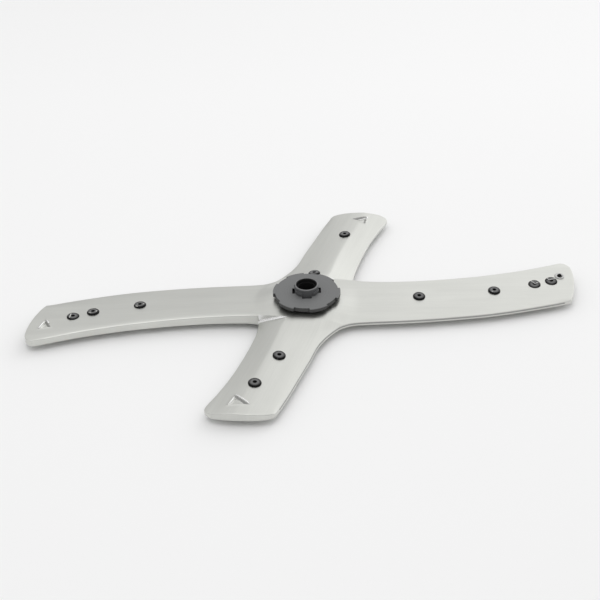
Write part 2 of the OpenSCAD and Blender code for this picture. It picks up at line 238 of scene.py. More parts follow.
class Shell(Enum):
    """The two sheets."""

    UPPER = 1
    LOWER = -1


@dataclass(frozen=True)
class ArmShares:
    """Edges of one kind of arm, as shares of its reach and width."""

    reach: float
    width: float
    band: float
    tip_rise: float
    crown_steps: int
    crease_pace: float
    belly_split: float
    lead: tuple[tuple[float, float], ...]
    trail: tuple[tuple[float, float], ...]
    tip: tuple[tuple[float, float], ...]


LONG_SHARES = ArmShares(
    reach=0.229,
    width=0.053,
    band=0.0022,
    tip_rise=0.0031,
    crown_steps=5,
    crease_pace=0.5,
    belly_split=0.95,
    lead=(
        (0.227, 0.434),
        (0.349, 0.421),
        (0.489, 0.455),
        (0.655, 0.543),
        (0.808, 0.677),
        (0.930, 0.826),
    ),
    trail=(
        (0.188, -0.581),
        (0.349, -0.566),
        (0.489, -0.534),
        (0.655, -0.460),
        (0.808, -0.332),
        (0.941, -0.185),
    ),
    tip=(
        (0.960, -0.124),
        (0.978, 0.075),
        (0.993, 0.355),
        (0.998, 0.600),
        (0.994, 0.755),
        (0.972, 0.860),
    ),
)
SHORT_SHARES = ArmShares(
    reach=0.147,
    width=0.051,
    band=0.0195,
    tip_rise=0.0036,
    crown_steps=4,
    crease_pace=1.0,
    belly_split=0.65,
    lead=(
        (0.265, 0.810),
        (0.395, 0.908),
        (0.544, 1.051),
        (0.680, 1.204),
        (0.803, 1.373),
        (0.915, 1.535),
    ),
    trail=(
        (0.279, -0.412),
        (0.395, -0.176),
        (0.544, -0.010),
        (0.680, 0.147),
        (0.816, 0.302),
        (0.949, 0.471),
    ),
    tip=(
        (0.986, 0.559),
        (0.999, 0.725),
        (0.999, 0.902),
        (0.993, 1.118),
        (0.982, 1.314),
        (0.965, 1.451),
    ),
)
MITRE = np.array([0.755 * LONG_SHARES.width, 0.486 * SHORT_SHARES.width])
CREASE_ROOT = np.array([0.321 * LONG_SHARES.width, 0.549 * SHORT_SHARES.width])
FILLET = np.array([0.566 * LONG_SHARES.width, -0.663 * SHORT_SHARES.width])
FIRST = 1.0 / 6.0


@dataclass(frozen=True)
class Pressing:
    """Heights that the two sheets share, and the surface of one kind of arm."""

    kind: Kind
    shares: ArmShares
    foot_drop: float = 0.0055
    rim_z: float = 0.0085
    seam_z: float = 0.0065
    seam_h: float = 0.001
    rim_h: float = 0.003
    hub_rise: float = 0.0065
    hub_flat_r: float = 0.0245
    blend_w: float = 0.0205
    edge_r: float = 0.0009
    sheet: float = 0.0008
    belly: float = 0.0024
    slope_step: float = 0.004

    @property
    def side(self) -> float:
        """Which way round the arm's trailing edge runs."""
        return 1.0 if self.kind is Kind.LONG else -1.0

    def placed(self, pairs: Sequence[tuple[float, float]]) -> np.ndarray:
        """Points of an edge in the plan, from shares of reach and width."""
        rows = np.array(pairs) * [self.shares.reach, self.shares.width]
        return rows if self.kind is Kind.LONG else rows[:, ::-1]

    @property
    def fillet(self) -> np.ndarray:
        """Where the trailing edge meets the next arm's."""
        return FILLET if self.kind is Kind.LONG else -FILLET

    @cached_property
    def lead_points(self) -> np.ndarray:
        """Points of the leading edge, from the mitre out."""
        return np.vstack([MITRE, self.placed(self.shares.lead)])

    @cached_property
    def trail_points(self) -> np.ndarray:
        """Points of the trailing edge, from the fillet out."""
        return np.vstack([self.fillet, self.placed(self.shares.trail)])

    @cached_property
    def tip_points(self) -> np.ndarray:
        """Points round the tip, from the trailing to the leading edge."""
        return np.vstack(
            [self.trail_points[6], self.placed(self.shares.tip), self.lead_points[6]]
        )

    @cached_property
    def other_trail(self) -> np.ndarray:
        """The first point of the next arm's trailing edge."""
        other = SHORT_PRESSING if self.kind is Kind.LONG else LONG_PRESSING
        return -other.trail_points[1]

    def lead_rim(self, t: np.ndarray) -> np.ndarray:
        """Leading edge at share t of the arm."""
        p = self.lead_points
        return through(p, t * 6, 2 * p[0] - p[1], self.tip_points[6])

    def trail_rim(self, t: np.ndarray) -> np.ndarray:
        """Trailing edge at share t of the arm."""
        return through(
            self.trail_points, t * 6, self.other_trail, self.tip_points[1]
        )

    def tip_rim(self, s: np.ndarray) -> np.ndarray:
        """Outline of the tip at share s across it."""
        a = self.shares.crown_steps
        total = len(self.tip_points) - 1
        q = np.where(s <= 1, s * a, a + (s - 1) * (total - a))
        return through(self.tip_points, q, self.trail_points[5], self.lead_points[5])

    def moved_in(
        self, rim: Callable[[np.ndarray], np.ndarray], t: np.ndarray, e: float
    ) -> np.ndarray:
        """An edge moved square to itself by e; towards the left of its run."""
        ahead = rim(t + self.slope_step) - rim(t - self.slope_step)
        return rim(t) + e * self.side * unit(
            np.stack([-ahead[..., 1], ahead[..., 0]], axis=-1)
        )

    def trail_in(self, t: np.ndarray, e: float) -> np.ndarray:
        """Trailing edge moved into the arm by e."""
        root = self.fillet - e * unit(self.fillet)
        return np.where(t[..., None] <= 0, root, self.moved_in(self.trail_rim, t, e))

    def lead_in(self, t: np.ndarray, e: float) -> np.ndarray:
        """Leading edge moved into the arm by e."""
        root = MITRE - 1.2 * e * unit(MITRE)
        return np.where(t[..., None] <= 0, root, self.moved_in(self.lead_rim, t, -e))

    def tip_in(self, s: np.ndarray, e: float) -> np.ndarray:
        """Outline of the tip moved inward by e."""
        middle = (self.trail_points[5] + self.lead_points[5]) / 2
        rim = self.tip_rim(s)
        return rim + e * unit(middle - rim)

    def crease(self, t: np.ndarray, e: float) -> np.ndarray:
        """The crease at share t, for a surface moved in by e."""

        def beside(u: np.ndarray) -> np.ndarray:
            lead = self.lead_rim(u)
            reach = self.shares.band + e - self.edge_r
            return lead + reach * unit(self.trail_rim(u) - lead)

        root = CREASE_ROOT - (e - self.edge_r) * np.ones(2)
        near = np.clip(t / FIRST, 0.0, 1.0)[..., None] ** self.shares.crease_pace
        start = mix(root, beside(np.full_like(t, FIRST)), near)
        return np.where(t[..., None] >= FIRST, beside(t), start)

    def chord(self, t: np.ndarray, s: np.ndarray, e: float) -> np.ndarray:
        """A place on the straight lines trailing edge, crease, leading edge."""
        crease = self.crease(t, e)
        inner = mix(self.trail_in(t, e), crease, s[..., None])
        outer = mix(crease, self.lead_in(t, e), s[..., None] - 1)
        return np.where(s[..., None] <= 1, inner, outer)

    def place(self, t: np.ndarray, s: np.ndarray, e: float) -> np.ndarray:
        """A place in the plan.

        Args:
            t: Share along the arm, 0 at the root and 1 at the tip.
            s: Share across it, 0 at the trailing edge, 1 on the crease and 2
                at the leading edge.
            e: How far the surface's border is moved in from the outline.

        Returns:
            Plan points.
        """
        chord = self.chord(t, s, e)
        inside = (s > 0) & (s < 2) & (t > 0)
        tip = t[..., None] ** 5 * (
            self.tip_rim(s) - self.chord(np.ones_like(t), s, 0.0)
        )
        body = np.where(inside[..., None], chord + tip, chord)
        return np.where(t[..., None] >= 1, self.tip_in(s, e), body)

    def hub_share(self, p: np.ndarray) -> np.ndarray:
        """How far a plan point belongs to the flat middle, 0 to 1."""
        r = np.linalg.norm(p, axis=-1)
        return eased((self.hub_flat_r + self.blend_w - r) / self.blend_w)

    def crest_rise(self, t: np.ndarray) -> np.ndarray:
        """Rise of the crease above the rim."""
        root = self.hub_rise - self.sheet / 4
        return mix(self.shares.tip_rise, root, (1 - np.minimum(1, t)) ** 1.5)

    def crown_height(self, t: np.ndarray, s: np.ndarray, p: np.ndarray) -> np.ndarray:
        """Height of the upper sheet's outside."""
        crest = self.crest_rise(t)
        at_crease = mix(crest, self.hub_rise, self.hub_share(self.crease(t, self.edge_r)))
        mitre = -0.7 * (self.rim_h - self.seam_h - self.edge_r)
        if self.kind is Kind.LONG:
            foot = at_crease - self.edge_r / 3
        else:
            foot = mix(mitre, self.sheet / 4, t)
        foot = np.where(t <= 0, mitre, foot)
        swell = crest * (1 - (1 - np.clip(s, 0, 1)) ** 1.5)
        crown = mix(swell, self.hub_rise, self.hub_share(p))
        crown = np.where(s <= 0, 0.0, crown)
        band = mix(at_crease, foot, s - 1)
        return self.rim_z + np.where(s <= 1, crown, band)

    def belly_height(self, t: np.ndarray, s: np.ndarray, p: np.ndarray) -> np.ndarray:
        """Height of the lower sheet's outside."""
        part = mix(0.8, self.shares.belly_split, np.minimum(1, t / FIRST))
        w = np.where(s <= 1, s * part, part + (s - 1) * (1 - part))
        across = 1 - np.abs(2 * w - 1) ** 3
        along = np.minimum(1, (1 - t) / FIRST * 2)
        z = mix(self.foot_drop - self.belly * across * along, 0.0, self.hub_share(p))
        return np.where((s <= 0) | (s >= 2) | (t >= 1), self.foot_drop, z)

    def surface(
        self, shell: Shell, t: np.ndarray, s: np.ndarray, e: float
    ) -> np.ndarray:
        """Points of a sheet's outside."""
        p = self.place(t, s, e)
        height = self.crown_height if shell is Shell.UPPER else self.belly_height
        return np.concatenate([p, height(t, s, p)[..., None]], axis=-1)


LONG_PRESSING = Pressing(Kind.LONG, LONG_SHARES)
SHORT_PRESSING = Pressing(Kind.SHORT, SHORT_SHARES)
PRESSINGS = {Kind.LONG: LONG_PRESSING, Kind.SHORT: SHORT_PRESSING}


def turned_half(points: np.ndarray, half: bool) -> np.ndarray:
    """Points turned half round the hub axis where half is true."""
    return points * [-1, -1, 1] if half else points


@dataclass(frozen=True)
class PressedMark:
    """A three-sided dimple near the tip of an arm, where the sheets are joined."""

    arm: Arm
    corners: tuple[tuple[float, float], ...]
    brims: tuple[tuple[int, int, float, float, float], ...] = ()
    shades: tuple[tuple[int, int], ...] = ()
    depth: float = 0.0015
    wall_w: float = 0.0019
    brink_rise: float = 0.00032
    brink_w: float = 0.0008

    def lift(self, p: np.ndarray) -> np.ndarray:
        """Height that the mark adds at plan points in the arm's own frame."""
        corners = np.array(self.corners)
        middle = corners.mean(axis=0)
        inside = np.full(p.shape[:-1], np.inf)
        for a, b in zip(corners, np.roll(corners, -1, axis=0)):
            square = unit(np.array([a[1] - b[1], b[0] - a[0]]))
            square = square * np.sign((middle - a) @ square)
            inside = np.minimum(inside, (p - a) @ square)
        brink = self.brink_rise * np.exp(-((inside / self.brink_w) ** 2))
        return brink - self.depth * eased(inside / self.wall_w)

    def square(self, a: np.ndarray, b: np.ndarray) -> np.ndarray:
        """The direction from the side a to b into the dimple."""
        square = unit(np.array([a[1] - b[1], b[0] - a[0]]))
        middle = np.array(self.corners).mean(axis=0)
        return square * np.sign((middle - a) @ square)

    def shaded(self, p: np.ndarray) -> np.ndarray:
        """Which plan points lie on one of the walls that take painted shade."""
        corners = np.array(self.corners)
        inside = np.full(p.shape[:-1], np.inf)
        for a, b in zip(corners, np.roll(corners, -1, axis=0)):
            inside = np.minimum(inside, (p - a) @ self.square(a, b))
        dark = np.zeros(p.shape[:-1], dtype=bool)
        for first, last in self.shades:
            a, b = corners[first], corners[last]
            far = (p - a) @ self.square(a, b)
            dark |= (inside > 0) & (far < 0.75 * self.wall_w)
        return dark


@dataclass
class PressedShells:
    """The upper and lower sheet, closed round one outline."""

    rows: int = 150
    crown_cols: int = 44
    band_cols: dict[Kind, int] = field(
        default_factory=lambda: {Kind.LONG: 5, Kind.SHORT: 22}
    )
    lip_w: float = 0.0016
    bush_hole_r: float = 0.01239
    seat_r: float = 0.0202
    seat_rise: float = 0.0018
    foot_r: float = 0.0215
    crease_r: float = 0.0012
    valley_r: float = 0.0010
    valley_shift: tuple[float, float, float] = (0.00014, 0.00085, 0.0004)
    tuck: float = 0.00025
    brow: tuple[tuple[float, float], ...] = (
        (0.0, 0.0),
        (0.09, 0.03),
        (0.16, 0.10),
        (0.22, 0.20),
        (0.27, 0.33),
        (0.32, 0.48),
        (0.37, 0.65),
        (0.43, 0.85),
    )
    hem_r: float = 0.0009
    tip_hem: float = 0.6
    lead_hem: float = 0.1
    marks: tuple[PressedMark, ...] = (
        PressedMark(
            Arm.LEFT,
            ((0.2148, 0.0162), (0.2088, 0.0274), (0.2186, 0.0290)),
            ((0, 2, 0.25, 1.0, -0.2), (0, 1, 0.1, 0.55, 0.5)),
            ((0, 1), (1, 2)),
        ),
        PressedMark(
            Arm.FRONT,
            ((0.0560, 0.1231), (0.0452, 0.1352), (0.0612, 0.1345)),
            ((0, 1, 0.0, 1.0, 0.7), (0, 2, 0.15, 0.8, -0.5)),
            ((0, 1),),
        ),
        PressedMark(
            Arm.BACK,
            ((0.0571, 0.1250), (0.0455, 0.1338), (0.0594, 0.1384)),
            ((1, 2, 0.35, 0.9, -2.0), (2, 0, 0.05, 0.35, 0.6)),
            ((1, 2), (2, 0)),
        ),
    )
    brim_r: float = 0.00062

    @staticmethod
    def spaced(count: int, end: float, fine: tuple[float, float], more: float) -> np.ndarray:
        """Steps from 0 to end, closer together in one stretch.

        Args:
            count: How many values.
            end: The last value.
            fine: The stretch with closer steps.
            more: How many times closer they are.

        Returns:
            The values in order.
        """
        x = np.linspace(0, end, 600)
        inside = (x > fine[0]) & (x < fine[1])
        pace = np.where(inside, more, 1.0)
        run = np.concatenate([[0.0], np.cumsum((pace[1:] + pace[:-1]) / 2)])
        return np.interp(np.linspace(0, run[-1], count), run, x)

    def t_values(self, press: Pressing) -> np.ndarray:
        """Shares along an arm, closer together where its dimple is."""
        end = 1 - 3 * press.sheet / press.shares.reach
        fine = (0.895, 0.965) if press.kind is Kind.LONG else (0.825, 0.955)
        return np.append(self.spaced(self.rows, end, fine, 4.5), 1.0)

    def s_values(self, press: Pressing) -> np.ndarray:
        """Shares across an arm, closer together where its dimple is."""
        fine = (0.45, 0.85) if press.kind is Kind.LONG else (0.75, 1.0)
        crown = self.spaced(self.crown_cols + 1, 1.0, fine, 2.0)
        band = 1 + np.linspace(0, 1, self.band_cols[press.kind] + 1)[1:]
        return np.concatenate([crown, band])

    def softened(
        self, press: Pressing, shell: Shell, t: np.ndarray, s: np.ndarray, z: np.ndarray
    ) -> np.ndarray:
        """Rounds the crease of the upper sheet of a short arm."""
        if shell is Shell.LOWER or press.kind is Kind.LONG:
            return z
        width = press.shares.width - press.shares.band
        d = np.where(s <= 1, (1 - s) * width, (s - 1) * press.shares.band)
        fold = press.crest_rise(t) / press.shares.band * np.minimum(1, t / 0.05)
        r = self.crease_r
        return z - fold / 2 * r * np.exp(-d / r)

    def arm_grid(self, shell: Shell, arm: Arm, e: float, deep: float) -> np.ndarray:
        """Points of one arm of a sheet.

        Args:
            shell: Which sheet.
            arm: Which arm.
            e: How far the border lies inside the outline.
            deep: Height added to the outside surface.

        Returns:
            Points in rows from root to tip.
        """
        kind, half = arm.value
        press = PRESSINGS[kind]
        t, s = np.meshgrid(self.t_values(press), self.s_values(press), indexing="ij")
        grid = press.surface(shell, t, s, e)
        edge = (s <= 0) | (s >= 2) | (t >= 1)
        z = self.softened(press, shell, t, s, grid[..., 2])
        if shell is Shell.UPPER:
            for mark in self.marks:
                if mark.arm is arm:
                    z = z + mark.lift(grid[..., :2])
        grid[..., 2] = np.where(edge, grid[..., 2], z) + deep
        return turned_half(grid, half)

    def core_share(
        self, press: Pressing, s: np.ndarray, e: float, p: np.ndarray
    ) -> np.ndarray:
        """How far up the swell a point of the middle lies.

        Args:
            press: The kind of arm beside it.
            s: Share across the arm's root of the line through the point.
            e: How far the border lies inside the outline.
            p: Plan points.

        Returns:
            Shares that agree with s on the arm's root.
        """

        def root_line(one: Pressing) -> np.ndarray:
            zero = np.zeros(1)
            return (one.crease(zero, e) - one.trail_in(zero, e))[0]

        def turn(a: np.ndarray, b: np.ndarray) -> np.ndarray:
            return np.arccos(np.clip((unit(a) * unit(b)).sum(-1), -1, 1))

        start = press.trail_in(np.zeros(1), e)[0]
        line = root_line(press)
        lengths = [float(np.linalg.norm(root_line(q))) for q in PRESSINGS.values()]
        away = p - start
        far = np.linalg.norm(away, axis=-1)
        away = np.where(far[..., None] < 1e-9, line, away)
        q = np.minimum(1, turn(away, line) / turn(-start, line))
        span = mix(np.linalg.norm(line), np.mean(lengths), np.where(s <= 0, 1.0, q))
        return mix(np.minimum(1, far / span), s, s)

    def core_grid(self, shell: Shell, arm: Arm, e: float, deep: float) -> np.ndarray:
        """Points of the middle between one arm's root and the hub."""
        kind, half = arm.value
        press = PRESSINGS[kind]
        s = self.s_values(press)[: self.crown_cols + 1]
        root = press.surface(shell, np.zeros_like(s), s, e)
        r_root = np.linalg.norm(root[:, :2], axis=1)[:, None]
        upper = shell is Shell.UPPER
        stops = [self.bush_hole_r, self.seat_r, self.seat_r + self.seat_rise]
        if not upper:
            stops = [1e-5, 0.012, self.foot_r]
        inner = np.concatenate(
            [
                np.linspace(stops[0], stops[1], 5)[:-1],
                np.linspace(stops[1], stops[2], 8)[:-1],
            ]
        )
        f = np.linspace(0, 1, 18)[None, :]
        r = np.concatenate(
            [np.repeat(inner[None, :], len(s), axis=0), mix(stops[2], r_root, f)], axis=1
        )
        p = root[:, None, :2] / r_root[:, None] * r[..., None]
        across = np.repeat(s[:, None], r.shape[1], axis=1)
        w = self.core_share(press, across, e, p)
        w = np.where(r >= r_root - 1e-9, across, np.maximum(w, 1e-6))
        height = press.crown_height if upper else press.belly_height
        z = height(np.zeros_like(w), w, p)
        if upper:
            slope = (self.seat_r + self.seat_rise - r) / self.seat_rise
            z = z + self.seat_rise * eased(slope)
        grid = np.concatenate([p, (z + deep)[..., None]], axis=-1)
        return turned_half(grid, half)

    def face(self, skin: Skin, shell: Shell, e: float, deep: float, turned: bool) -> None:
        """Adds all four arms and the middle of one side of a sheet."""
        for arm in Arm:
            away = arm.value[0] is Kind.LONG
            grid = self.arm_grid(shell, arm, e, deep)
            tint = np.zeros((grid.shape[0] - 1, grid.shape[1] - 1), dtype=int)
            # Painted highlight: the first row of each long arm's band takes the near-white steel,
            # lifting the shade at the mitre.
            if away and shell is Shell.UPPER:
                tint[0, self.crown_cols :] = 1
            own = turned_half(grid, arm.value[1])[..., :2]
            own = (own[1:, 1:] + own[:-1, :-1]) / 2
            # Painted shade: faces on a dimple's walls take the dark steel.
            for mark in self.marks if shell is Shell.UPPER and not turned else ():
                if mark.arm is arm:
                    tint[mark.shaded(own)] = 2
            skin.add(grid, turned=away != turned, tint=tint)
            skin.add(self.core_grid(shell, arm, e, deep), turned=away == turned)

    def outline(self, shell: Shell, e: float) -> np.ndarray:
        """The border of a sheet's face moved in by e, once round."""
        sides = []
        for arm in (Arm.RIGHT, Arm.BACK, Arm.LEFT, Arm.FRONT):
            kind, half = arm.value
            press = PRESSINGS[kind]
            t, s = self.t_values(press), self.s_values(press)
            trail = press.surface(shell, t, np.zeros_like(t), e)
            tip = press.surface(shell, np.ones_like(s), s, e)
            lead = press.surface(shell, t, np.full_like(t, 2.0), e)
            if kind is Kind.LONG:
                run = [trail, tip[1:], lead[::-1][1:-1]]
            else:
                run = [lead, tip[::-1][1:], trail[::-1][1:-1]]
            sides.append(turned_half(np.vstack(run), half))
        return np.vstack(sides)

    def hem_share(self) -> np.ndarray:
        """For each point of the outline, how far the hem below stands proud."""
        sides = []
        for arm in (Arm.RIGHT, Arm.BACK, Arm.LEFT, Arm.FRONT):
            press = PRESSINGS[arm.value[0]]
            t, s = self.t_values(press), self.s_values(press)
            tip = self.tip_hem * (1 - 0.7 * eased(s / 2))
            trail = mix(self.tip_hem, 1.0, eased((1 - t) / 0.03))
            lead = mix(tip[-1], self.lead_hem, eased((1 - t) / 0.03))
            if arm.value[0] is Kind.LONG:
                run = [trail, tip[1:], lead[::-1][1:-1]]
            else:
                run = [lead, tip[::-1][1:], trail[::-1][1:-1]]
            sides.append(np.concatenate(run))
        return np.concatenate(sides)[:, None]

    def sheet_skin(self, shell: Shell) -> Skin:
        """Both sides of a sheet with its rolled edge and its lip."""
        press = LONG_PRESSING
        way = 1.0 if shell is Shell.UPPER else -1.0
        roll = press.edge_r * (1.0 if shell is Shell.UPPER else 0.6)
        skin = Skin()
        self.face(skin, shell, press.edge_r, 0.0, turned=shell is Shell.LOWER)
        rings = []
        hem = self.hem_share()
        back = self.outline(shell, press.edge_r)
        edge = self.outline(shell, 0.0)
        drop = press.foot_drop + 0.6 * press.edge_r
        seam = mix(press.seam_z, drop + self.hem_r, hem)
        upper = shell is Shell.UPPER
        bends = np.linspace(0, math.pi / 2, 8)
        for a, (lean, fall) in zip(bends, self.brow):
            out, down = math.sin(a), roll * (1 - math.cos(a))
            if upper:
                out, down = mix(out, lean, hem), mix(down, fall * press.edge_r, hem)
            ring = mix(back, edge, out)
            ring[:, 2:] -= way * down
            rings.append(ring)
        if upper:
            foot = mix(back, edge, mix(1.0, 1 - self.tuck / press.edge_r, hem))
            foot[:, 2:] = seam
            brow = rings[-1]
            for share in (0.33, 0.66, 1.0):
                rings.append(mix(brow, foot, share))
        else:
            rim = rings[-1]
            tucked = mix(rim, self.outline(shell, self.tuck), hem)
            for a in np.linspace(0, math.pi / 2, 6)[1:]:
                ring = mix(rim, tucked, 1 - math.cos(a))
                ring[:, 2:] = mix(rim[:, 2:], seam, math.sin(a))
                rings.append(ring)
        lip = self.outline(shell, self.lip_w)
        lip[:, 2:] = seam
        inside = self.outline(shell, self.lip_w) - [0, 0, way * press.sheet]
        rings += [lip, inside]
        tint = np.zeros((len(rings) - 1, len(hem)), dtype=int)
        # Painted shade: the upper sheet's edge wall, where the hem stands proud, takes the dark
        # steel as a shade line along the seam.
        if upper:
            tint[6:-1] = np.where(hem[:, 0] > 0.9, 2, 0)
        skin.add(np.stack(rings), turned=shell is Shell.LOWER, ring=True, tint=tint)
        self.face(
            skin, shell, self.lip_w, -way * press.sheet, turned=shell is Shell.UPPER
        )
        return skin

    def brim(
        self, mark: PressedMark, line: tuple[int, int, float, float, float]
    ) -> np.ndarray:
        """A rounded edge beside a dimple, which takes the near-white steel as a painted highlight.

        Args:
            mark: The dimple.
            line: Its two corners, the shares of the side where the edge starts
                and ends, and how far it lies outside the side, in mm.

        Returns:
            Rows of points round the edge.
        """
        kind, half = mark.arm.value
        press = PRESSINGS[kind]
        first, last, start, end, out = line
        a, b = np.array(mark.corners[first]), np.array(mark.corners[last])
        f = np.linspace(start, end, 12)[:, None]
        at = mix(a, b, f) - mark.square(a, b) * out / 1000
        t, s = np.meshgrid(self.t_values(press), self.s_values(press), indexing="ij")
        sheet = self.arm_grid(Shell.UPPER, mark.arm, press.edge_r, 0.0)
        sheet = turned_half(sheet, half).reshape(-1, 3)
        near = [np.argmin(((sheet[:, :2] - q) ** 2).sum(axis=1)) for q in at]
        z = sheet[near, 2]
        z = np.polyval(np.polyfit(f[:, 0], z, 2), f[:, 0])
        centre = np.column_stack([at, z + 0.3 * self.brim_r])
        ahead = unit(centre[-1] - centre[0])
        across = unit(np.cross(ahead, [0.0, 0.0, 1.0]))
        up = np.cross(across, ahead)
        share = np.sin(np.linspace(0.25, math.pi - 0.25, 12)) ** 0.5
        turn = np.linspace(0, 2 * math.pi, 13)[:-1]
        ring = np.cos(turn)[:, None] * across + np.sin(turn)[:, None] * up
        rows = centre[:, None] + ring * (self.brim_r * share)[:, None, None]
        return turned_half(rows, half)

    def brims(self) -> dict[str, bpy.types.Object]:
        """Draws the rounded edges of all the dimples; their near-white steel is a painted highlight.
        """
        made = {}
        for mark in self.marks:
            skin = Skin()
            for line in mark.brims:
                skin.add(self.brim(mark, line), ring=True)
            name = f"valley_mark_{mark.arm.name.lower()}"
            made[name] = skin.piece(name, 0.0, 60)
            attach(made[name], "arm")
        return made

    def valley(self, half: bool) -> bpy.types.Object:
        """The rounded valley where a short arm's band meets a long arm's wall; main dresses this
        bead in a near-white steel, a painted highlight along the fold.
        """
        press = LONG_PRESSING
        s = np.linspace(1.0, 2.0, 24)
        line = press.surface(Shell.UPPER, np.zeros_like(s), s, press.edge_r)
        line += self.valley_shift
        ahead = unit(line[-1] - line[0])
        line[-1] += ahead * self.valley_r
        across = unit(np.cross(ahead, [0.0, 0.0, 1.0]))
        up = np.cross(across, ahead)
        share = np.clip((s - 0.97) / 0.25, 0.05, 1.0) ** 0.5
        a = np.linspace(0, 2 * math.pi, 13)[:-1]
        ring = np.cos(a)[None, :, None] * across + np.sin(a)[None, :, None] * up
        tube = line[:, None, :] + ring * (self.valley_r * share)[:, None, None]
        skin = Skin()
        skin.add(turned_half(tube, half), ring=True)
        piece = skin.piece("valley_front" if half else "valley_back", 0.0, 60)
        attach(piece, "arm")
        return piece

    def build(self) -> dict[str, bpy.types.Object]:
        """Draws both sheets; they ride on the arm in place of their solids.

        Returns:
            The new pieces by the name of the solid.
        """
        made = {}
        for shell, node in ((Shell.UPPER, "upper_shell"), (Shell.LOWER, "lower_shell")):
            piece = self.sheet_skin(shell).piece(node + "_pressed", 2e-6, 35)
            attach(piece, "arm")
            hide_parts(node)
            made[node] = piece
        for half in (False, True):
            made["valley_front" if half else "valley_back"] = self.valley(half)
        return made | self.brims()


# ------------------------------------------------------------------ finishes
Socket = tuple[str, str, float]


def new_group(
    name: str, inputs: Sequence[Socket], outputs: Sequence[tuple[str, str]]
) -> bpy.types.ShaderNodeTree:
    """A shader node group with named sockets.

    Args:
        name: The group's name.
        inputs: Name, socket type and default of each input.
        outputs: Name and socket type of each output.

    Returns:
        The empty group with its input and output nodes.
    """
    group = bpy.data.node_groups.new(name, "ShaderNodeTree")
    for label, kind, value in inputs:
        socket = group.interface.new_socket(label, in_out="INPUT", socket_type=kind)
        if kind == "NodeSocketFloat":
            socket.default_value = value
    for label, kind in outputs:
        group.interface.new_socket(label, in_out="OUTPUT", socket_type=kind)
    return group


@dataclass
class Wiring:
    """Short calls to add and join nodes of one tree."""

    tree: bpy.types.NodeTree

    def node(self, kind: str, **values: object) -> bpy.types.Node:
        """Adds a node and sets its properties."""
        made = self.tree.nodes.new(kind)
        for key, value in values.items():
            setattr(made, key, value)
        return made

    def join(self, a: bpy.types.NodeSocket, b: bpy.types.NodeSocket) -> None:
        """Links an output to an input."""
        self.tree.links.new(a, b)

    def maths(self, op: str, a: object, b: object = None, c: object = None) -> bpy.types.NodeSocket:
        """A maths node; each argument is a number or a socket."""
        made = self.node("ShaderNodeMath", operation=op)
        for i, value in enumerate((a, b, c)):
            if value is None:
                continue
            if isinstance(value, (int, float)):
                made.inputs[i].default_value = value
            else:
                self.join(value, made.inputs[i])
        return made.outputs[0]


def grain_group() -> bpy.types.ShaderNodeTree:
    """Fine straight streaks, as on a brushed or rolled sheet."""
    group = new_group(
        "brushed_grain",
        [
            ("Along", "NodeSocketFloat", 12.0),
            ("Across", "NodeSocketFloat", 900.0),
            ("Contrast", "NodeSocketFloat", 1.0),
        ],
        [
            ("Streak", "NodeSocketFloat"),
            ("Band", "NodeSocketFloat"),
            ("Cloud", "NodeSocketFloat"),
        ],
    )
    w = Wiring(group)
    start, end = w.node("NodeGroupInput"), w.node("NodeGroupOutput")
    place = w.node("ShaderNodeTexCoord")
    split = w.node("ShaderNodeSeparateXYZ")
    w.join(place.outputs["Object"], split.inputs[0])
    x, y = split.outputs[0], split.outputs[1]
    far_x, far_y = w.maths("ABSOLUTE", x), w.maths("ABSOLUTE", y)
    on_short = w.maths("SUBTRACT", w.maths("MULTIPLY", far_y, 1.1), far_x)
    on_short = w.maths("MULTIPLY_ADD", on_short, 60.0, 0.5)
    on_short = w.maths("MINIMUM", w.maths("MAXIMUM", on_short, 0.0), 1.0)

    def lines(across: object, along: bpy.types.NodeSocket, wide: object) -> bpy.types.NodeSocket:
        joined = w.node("ShaderNodeCombineXYZ")
        w.join(w.maths("MULTIPLY", along, start.outputs["Along"]), joined.inputs[0])
        w.join(w.maths("MULTIPLY", across, wide), joined.inputs[1])
        noise = w.node("ShaderNodeTexNoise")
        noise.inputs["Scale"].default_value = 1.0
        noise.inputs["Detail"].default_value = 5.0
        noise.inputs["Roughness"].default_value = 0.6
        w.join(joined.outputs[0], noise.inputs["Vector"])
        centred = w.maths("SUBTRACT", noise.outputs[0], 0.5)
        return w.maths("MULTIPLY_ADD", centred, start.outputs["Contrast"], 0.5)

    broad = w.maths("MULTIPLY", start.outputs["Across"], 0.12)
    lean_x = w.maths("MULTIPLY_ADD", y, -0.34, x)
    for name, wide in (("Streak", start.outputs["Across"]), ("Band", broad)):
        first, second = lines(y, x, wide), lines(lean_x, y, wide)
        step = w.maths("MULTIPLY", w.maths("SUBTRACT", second, first), on_short)
        w.join(w.maths("ADD", first, step), end.inputs[name])
    cloud = w.node("ShaderNodeTexNoise")
    cloud.inputs["Scale"].default_value = 18.0
    cloud.inputs["Detail"].default_value = 3.0
    w.join(place.outputs["Object"], cloud.inputs["Vector"])
    w.join(cloud.outputs[0], end.inputs["Cloud"])
    return group


def moulding_group() -> bpy.types.ShaderNodeTree:
    """Fine spark texture and soft patches of a moulded plastic."""
    group = new_group(
        "moulded_skin",
        [("Fineness", "NodeSocketFloat", 2500.0), ("Patch", "NodeSocketFloat", 60.0)],
        [("Grain", "NodeSocketFloat"), ("Patches", "NodeSocketFloat")],
    )
    w = Wiring(group)
    start, end = w.node("NodeGroupInput"), w.node("NodeGroupOutput")
    place = w.node("ShaderNodeTexCoord")
    for scale, out in (("Fineness", "Grain"), ("Patch", "Patches")):
        noise = w.node("ShaderNodeTexNoise")
        noise.inputs["Detail"].default_value = 3.0
        w.join(place.outputs["Object"], noise.inputs["Vector"])
        w.join(start.outputs[scale], noise.inputs["Scale"])
        w.join(noise.outputs[0], end.inputs[out])
    return group


